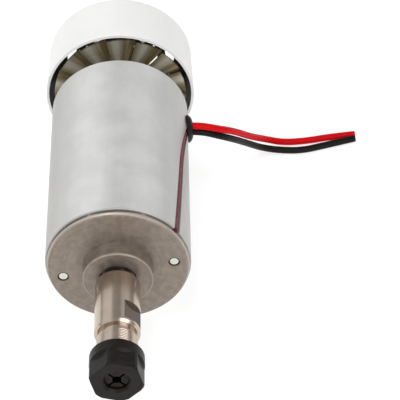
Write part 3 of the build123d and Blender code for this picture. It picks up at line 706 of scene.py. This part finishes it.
class Workshop:
    """Dresses CAD nodes and places new pieces."""

    def __init__(self) -> None:
        """Starts with no materials made."""
        self.made: dict[str, bpy.types.Material] = {}

    def material(self, finish: Finish) -> bpy.types.Material:
        """The finish's material, made once.

        Args:
            finish: The finish.

        Returns:
            Its material.
        """
        if finish.name not in self.made:
            self.made[finish.name] = finish.material()
        return self.made[finish.name]

    def dress(self, finish: Finish, *nodes: str) -> None:
        """Gives CAD nodes a finish.

        Args:
            finish: The finish.
            *nodes: The nodes' names.
        """
        for name in nodes:
            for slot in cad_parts[name].material_slots:
                slot.material = self.material(finish)
            LOG.info("dressed %s in %s", name, finish.name)

    def place(self, piece: bpy.types.Object, finish: Finish, body: str, slot: str,
              replaces: Sequence[str] = ()) -> None:
        """Puts a new piece on its body with its finish.

        Args:
            piece: The new piece.
            finish: Its finish.
            body: The body it rides on.
            slot: Not used.
            replaces: CAD nodes it stands for.
        """
        piece.data.materials.append(self.material(finish))
        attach(piece, body)
        for node in replaces:
            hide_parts(node)
        LOG.info("placed %s on %s", piece.name, body)


def in_fixed_order(form: bmesh.types.BMesh) -> None:
    """Numbers corners, edges and faces by their place, so that each run gives the same mesh.

    Args:
        form: The bmesh.
    """
    def corners(part: Union[bmesh.types.BMEdge, bmesh.types.BMFace]) -> tuple[int, ...]:
        """The numbers of a part's corners."""
        return tuple(sorted(vert.index for vert in part.verts))

    def spot(vert: bmesh.types.BMVert) -> Point:
        """A corner's place."""
        return tuple(vert.co)

    for parts, key in ((form.verts, spot), (form.edges, corners), (form.faces, corners)):
        ranks = {part: rank for rank, part in enumerate(sorted(parts, key=key))}
        parts.sort(key=ranks.get)
        parts.index_update()


def new_mesh_piece(name: str, form: bmesh.types.BMesh) -> bpy.types.Object:
    """Turns a finished bmesh, drawn in millimetres, into a piece at the origin.

    Args:
        name: The piece's name.
        form: The bmesh, which is used up.

    Returns:
        The piece.
    """
    bmesh.ops.remove_doubles(form, verts=form.verts, dist=WELD)
    bmesh.ops.recalc_face_normals(form, faces=form.faces)
    bmesh.ops.scale(form, verts=form.verts, vec=(MM, MM, MM))
    in_fixed_order(form)
    mesh = bpy.data.meshes.new(name)
    form.to_mesh(mesh)
    form.free()
    mesh.shade_smooth()
    mesh.set_sharp_from_angle(angle=math.radians(CREASE))
    piece = bpy.data.objects.new(name, mesh)
    bpy.context.scene.collection.objects.link(piece)
    return piece


def closed_profile(form: bmesh.types.BMesh, corners: Sequence[Point]) -> list:
    """Adds a flat face through the corners.

    Args:
        form: The bmesh.
        corners: Its corners in order.

    Returns:
        The face with its edges and vertices.
    """
    face = form.faces.new([form.verts.new(corner) for corner in corners])
    return [face, *face.edges, *face.verts]


@dataclass(frozen=True)
class Lead:
    """One free lead, from its bore in the grommet to its bare end."""

    name: str
    node: str
    finish: Finish
    slot: str
    route: tuple[Point, ...]
    length: float
    diameter: float = 2.7
    steps: int = 16
    facets: int = 6
    order: int = 3
    outer_strands: int = 6
    strand_facets: int = 12
    strand_radius: float = 0.26
    strand_spacing: float = 2.04
    strand_inset: float = 0.6
    strand_proud: float = 0.04

    def strands(self, shop: Workshop) -> None:
        """Lays copper strands in the lead's bare end: one in the middle and a ring round it.

        Args:
            shop: The workshop.
        """
        end = Vector(self.route[-1])
        heading = (end - Vector(self.route[-2])).normalized()
        turn = heading.to_track_quat("Z", "Y").to_matrix().to_4x4()
        centre = end + heading * (self.strand_proud - self.strand_inset / 2)
        turns = [i * math.tau / self.outer_strands for i in range(self.outer_strands)]
        spots = [Vector((0, 0, 0))] + [Vector((math.cos(a), math.sin(a), 0)) for a in turns]
        form = bmesh.new()
        for spot in spots:
            aside = Matrix.Translation(spot * self.strand_radius * self.strand_spacing)
            bmesh.ops.create_cone(
                form, cap_ends=True, segments=self.strand_facets, radius1=self.strand_radius,
                radius2=self.strand_radius, depth=self.strand_inset,
                matrix=Matrix.Translation(centre) @ turn @ aside,
            )
        shop.place(new_mesh_piece(self.name + "_strands", form), BAR_COPPER, "motor", "copper")

    def build(self, shop: Workshop) -> None:
        """Builds the lead as one smooth curve.

        Args:
            shop: The workshop.
        """
        curve = bpy.data.curves.new(self.name, "CURVE")
        curve.dimensions = "3D"
        curve.resolution_u = self.steps
        curve.bevel_depth = self.diameter / 2 * MM
        curve.bevel_resolution = self.facets
        curve.use_fill_caps = True
        spline = curve.splines.new("NURBS")
        spline.points.add(len(self.route) - 1)
        for point, place in zip(spline.points, self.route):
            point.co = (*(c * MM for c in place), 1.0)
        spline.order_u = self.order
        spline.use_endpoint_u = True
        piece = bpy.data.objects.new(self.name, curve)
        bpy.context.scene.collection.objects.link(piece)
        shop.place(piece, self.finish, "motor", self.slot, [self.node])
        self.strands(shop)
        tuple(c * MM for c in self.route[0])
        self.diameter * MM


@dataclass(frozen=True)
class Leads:
    """The red and the black lead, which leave the grommet's two bores and lie down on the floor."""

    angle: float = 86.5
    station: float = 74.2
    crown: float = 28.0
    bore_depth: float = 2.6
    exit_run: float = 5.0
    spacing: float = 2.85
    red_length: float = 88.1
    black_length: float = 85.4
    red_route: tuple[Point, ...] = (
        (38.4, 75.5, 0.2), (44.2, 81.0, -5.6), (50.4, 88.9, -14.8), (56.6, 96.9, -23.0),
        (64.4, 99.7, -27.35), (73.8, 100.5, -27.35), (83.6, 102.8, -27.35), (93.4, 104.2, -27.35),
    )
    black_route: tuple[Point, ...] = (
        (38.2, 75.1, -2.8), (43.9, 80.1, -8.8), (49.5, 87.3, -17.0), (55.2, 93.3, -24.4),
        (62.6, 95.0, -27.35), (71.6, 94.6, -27.35), (81.0, 97.6, -27.35), (93.2, 101.6, -27.35),
    )

    def bore(self, side: float, run: float) -> Point:
        """Point on the axis of one of the grommet's bores.

        Args:
            side: -1 for the upper bore, 1 for the lower one.
            run: Distance above the bore's bottom.

        Returns:
            The point.
        """
        turn = math.radians(self.angle)
        out = self.crown - self.bore_depth + run
        shift = side * self.spacing / 2
        across = out * math.sin(turn) + shift * math.cos(turn)
        up = out * math.cos(turn) - shift * math.sin(turn)
        return (across, self.station, up)

    def build(self, shop: Workshop) -> None:
        """Builds both leads.

        Args:
            shop: The workshop.
        """
        upper = (self.bore(-1, 0), self.bore(-1, self.exit_run))
        lower = (self.bore(1, 0), self.bore(1, self.exit_run))
        red = Lead("red_lead_sheath", "red_lead", RED_SHEATH, "red_insulation",
                   upper + self.red_route, self.red_length)
        black = Lead("black_lead_sheath", "black_lead", BLACK_SHEATH, "black_insulation",
                     lower + self.black_route, self.black_length)
        red.build(shop)
        black.build(shop)


@dataclass(frozen=True)
class SoftLight:
    """One soft square light that faces the spindle."""

    name: str
    place: Point
    size: float
    power: float
    aim: Point = (0.0, 35.0, 0.0)

    def build(self) -> None:
        """Adds the light, with its sizes in millimetres and its power in watts."""
        data = bpy.data.lights.new(self.name, "AREA")
        data.size = self.size * MM
        data.energy = self.power
        light = bpy.data.objects.new(self.name, data)
        light.location = Vector(self.place) * MM
        aim = Vector(self.aim) * MM - light.location
        light.rotation_euler = aim.to_track_quat("-Z", "Y").to_euler()
        bpy.context.scene.collection.objects.link(light)


@dataclass(frozen=True)
class Studio:
    """Pale floor, soft lights and the camera."""

    floor_level: float = -28.75
    camera_place: Point = (17.94, -524.88, 500.73)
    camera_pitch: float = 48.21
    camera_yaw: float = -1.211
    lens: float = 183.93
    sensor: float = 36.0
    near: float = 10.0
    far: float = 50000.0
    key: SoftLight = SoftLight("key", place=(-160, -200, 850), size=420, power=3.2)
    fill: SoftLight = SoftLight("fill", place=(420, -700, 450), size=500, power=2.0)
    floor_half: float = 6000.0
    floor_grey: float = 0.40
    floor_pale: float = 0.43
    floor_cells: float = 0.02
    floor_roughness: float = 0.9
    floor_glow: float = 0.7
    sky_strength: float = 1.1
    # Angles from the top, towards the leads' side, and the light's level there.
    panels: tuple[tuple[float, float], ...] = (
        (-100, 0.26), (-86, 0.38), (-72, 0.8), (-32, 0.88), (-20, 0.42), (12, 0.34), (24, 0.58),
        (56, 0.68), (70, 0.34), (90, 0.34), (100, 0.45),
    )

    def camera(self) -> None:
        """Sets up the camera."""
        data = bpy.data.cameras.new("camera")
        data.lens = self.lens
        data.sensor_width = self.sensor
        data.clip_start = self.near * MM
        data.clip_end = self.far * MM
        camera = bpy.data.objects.new("camera", data)
        camera.location = Vector(self.camera_place) * MM
        camera.rotation_euler = (math.radians(self.camera_pitch), 0.0, math.radians(self.camera_yaw))
        bpy.context.scene.collection.objects.link(camera)
        bpy.context.scene.camera = camera

    def build(self) -> None:
        """Builds floor, lights and background."""
        bpy.context.scene.view_settings.view_transform = "Standard"
        self.sky()
        self.floor()
        self.key.build()
        self.fill.build()

    def sky(self) -> None:
        """Builds the surrounding light: long soft panels that run beside the spindle."""
        world = bpy.data.worlds.new("studio")
        world.use_nodes = True
        bpy.context.scene.world = world
        bench = Bench("studio", world.node_tree)
        x, _, z = bench.parts(bench.node("ShaderNodeTexCoord").outputs["Generated"])
        turn = x.angle(z) * (1 / math.tau) + 0.5
        stops = [(0.5 + math.radians(angle) / math.tau, (level,) * 3) for angle, level in self.panels]
        ramp = bench.node("ShaderNodeValToRGB", {"stops": stops}, {0: turn})
        light = bench.node(
            "ShaderNodeBackground", None, {"Color": ramp.outputs[0], "Strength": self.sky_strength}
        )
        bench.node("ShaderNodeOutputWorld", None, {"Surface": light.outputs[0]})

    def floor(self) -> None:
        """Builds the pale floor."""
        form = bmesh.new()
        bmesh.ops.create_grid(form, x_segments=1, y_segments=1, size=self.floor_half * MM)
        bmesh.ops.translate(form, verts=form.verts, vec=(0, 0, self.floor_level * MM))
        mesh = bpy.data.meshes.new("floor")
        form.to_mesh(mesh)
        form.free()
        bench = Bench("floor_paper")
        cloud = bench.noise(bench.place(), self.floor_cells)
        colour = bench.mix(cloud, (self.floor_grey,) * 3, (self.floor_pale,) * 3)
        glow = {"Emission Color": (1.0, 1.0, 1.0), "Emission Strength": self.floor_glow}
        mesh.materials.append(bench.finish(colour, self.floor_roughness, 0.0, None, glow))
        floor = bpy.data.objects.new("floor", mesh)
        bpy.context.scene.collection.objects.link(floor)


@dataclass(frozen=True)
class Barrel:
    """Flux sleeve, can, magnets, bells and through bolts."""

    def build(self, shop: Workshop) -> None:
        """Dresses the barrel.

        Args:
            shop: The workshop.
        """
        shop.dress(SLEEVE_ZINC, "flux_sleeve")
        shop.dress(CAN_STEEL, "motor_can")
        shop.dress(FERRITE, "field_magnets")
        shop.dress(BELL_CASTING, "front_bell", "rear_bell")
        shop.dress(BOLT_ZINC, "through_bolts", "bolt_washers")
        shop.dress(GROMMET_RUBBER, "lead_grommet")
        # The lead in the slot carries painted shade.
        shop.dress(SLOT_SHADED_RED_SHEATH, "red_lead_in_slot")


@dataclass(frozen=True)
class Bearings:
    """The two ball bearings and the preload washer."""

    sides: tuple[str, ...] = ("front", "rear")

    def build(self, shop: Workshop) -> None:
        """Dresses the bearings.

        Args:
            shop: The workshop.
        """
        for side in self.sides:
            name = side + "_bearing_"
            shop.dress(BEARING_CHROME, name + "outer_ring", name + "inner_ring", name + "balls")
            shop.dress(SHADED_SHIELD_STEEL, name + "shields", name + "cage")
        shop.dress(SPRING_STEEL, "bearing_wave_washer")


@dataclass(frozen=True)
class Rotor:
    """Shaft, armature and commutator."""

    def build(self, shop: Workshop) -> None:
        """Dresses the rotor.

        Args:
            shop: The workshop.
        """
        shop.dress(SHADED_SHAFT_STEEL, "spindle_shaft")
        shop.dress(STACKED_SHEET, "armature_core")
        shop.dress(WINDING_VARNISH, "armature_windings")
        shop.dress(HUB_PHENOLIC, "commutator_hub")
        shop.dress(BAR_COPPER, "commutator_bars")
        shop.dress(CAN_STEEL, "shaft_spacers")


@dataclass(frozen=True)
class BrushGear:
    """Brush card, holders, brushes and springs."""

    def build(self, shop: Workshop) -> None:
        """Dresses the brush gear.

        Args:
            shop: The workshop.
        """
        shop.dress(CARD_LAMINATE, "brush_card")
        shop.dress(BRASS_STRIP, "brush_holders", "brush_terminals")
        shop.dress(BRUSH_CARBON, "upper_brush", "lower_brush")
        shop.dress(SPRING_STEEL, "upper_brush_spring", "lower_brush_spring")


@dataclass(frozen=True)
class ToolHolder:
    """Collet chuck, collet and clamping nut."""

    thread_radius: float = 7.0
    thread_root: float = 0.05
    bare_crest: float = 0.12
    covered_crest: float = 0.07
    thread_pitch: float = 0.75
    bare_turns: float = 9.0
    covered_turns: float = 7.0
    root_half: float = 0.3
    crest_share: float = 0.25
    nut_rear: float = -43.65
    steps_a_turn: int = 48

    def thread(self, shop: Workshop, name: str, front: float, turns: float, height: float) -> None:
        """Winds a thread's crest round the chuck.

        Args:
            shop: The workshop.
            name: The piece's name.
            front: Station where the thread starts.
            turns: Number of turns, towards the rear.
            height: Height of the crest over the chuck.
        """
        half = self.thread_pitch * self.root_half
        flat = half * self.crest_share
        crest = self.thread_radius + height
        root = self.thread_radius - self.thread_root
        form = bmesh.new()
        corners = [(root, -half), (crest, -flat), (crest, flat), (root, half)]
        outline = closed_profile(form, [(radius, front + shift, 0.0) for radius, shift in corners])
        steps = round(turns * self.steps_a_turn)
        bmesh.ops.spin(
            form, geom=outline, cent=(0, 0, 0), axis=(0, 1, 0), angle=math.tau * turns, steps=steps,
            dvec=(0, self.thread_pitch / self.steps_a_turn, 0),
        )
        shop.place(new_mesh_piece(name, form), CHUCK_STEEL, "rotor", "chuck_steel")

    def build(self, shop: Workshop) -> None:
        """Dresses the tool holder.

        Args:
            shop: The workshop.
        """
        covered_front = self.nut_rear - self.covered_turns * self.thread_pitch
        self.thread(shop, "chuck_thread_bare", self.nut_rear, self.bare_turns, self.bare_crest)
        self.thread(shop, "chuck_thread_in_nut", covered_front, self.covered_turns, self.covered_crest)
        shop.dress(CHUCK_STEEL, "collet_chuck")
        shop.dress(SHADED_COLLET_STEEL, "collet")
        shop.dress(NUT_OXIDE, "collet_nut")


@dataclass(frozen=True)
class FanEnd:
    """Fan, its nut and the moulded cover."""

    def build(self, shop: Workshop) -> None:
        """Dresses the fan end.

        Args:
            shop: The workshop.
        """
        shop.dress(FAN_METAL, "cooling_fan")
        shop.dress(BOLT_ZINC, "fan_nut", "fan_washer", "fan_cover_screws")
        shop.dress(CAN_STEEL, "fan_bush")
        shop.dress(COVER_PLASTIC, "fan_cover")


def main() -> None:
    """Builds the scene in order."""
    logging.basicConfig(level=logging.INFO, format="%(name)s: %(message)s")
    shop = Workshop()
    studio = Studio()
    studio.camera()
    Leads().build(shop)
    for assembly in (Barrel(), Bearings(), Rotor(), BrushGear(), ToolHolder(), FanEnd()):
        assembly.build(shop)
    studio.build()


if __name__ == "__main__":
    main()
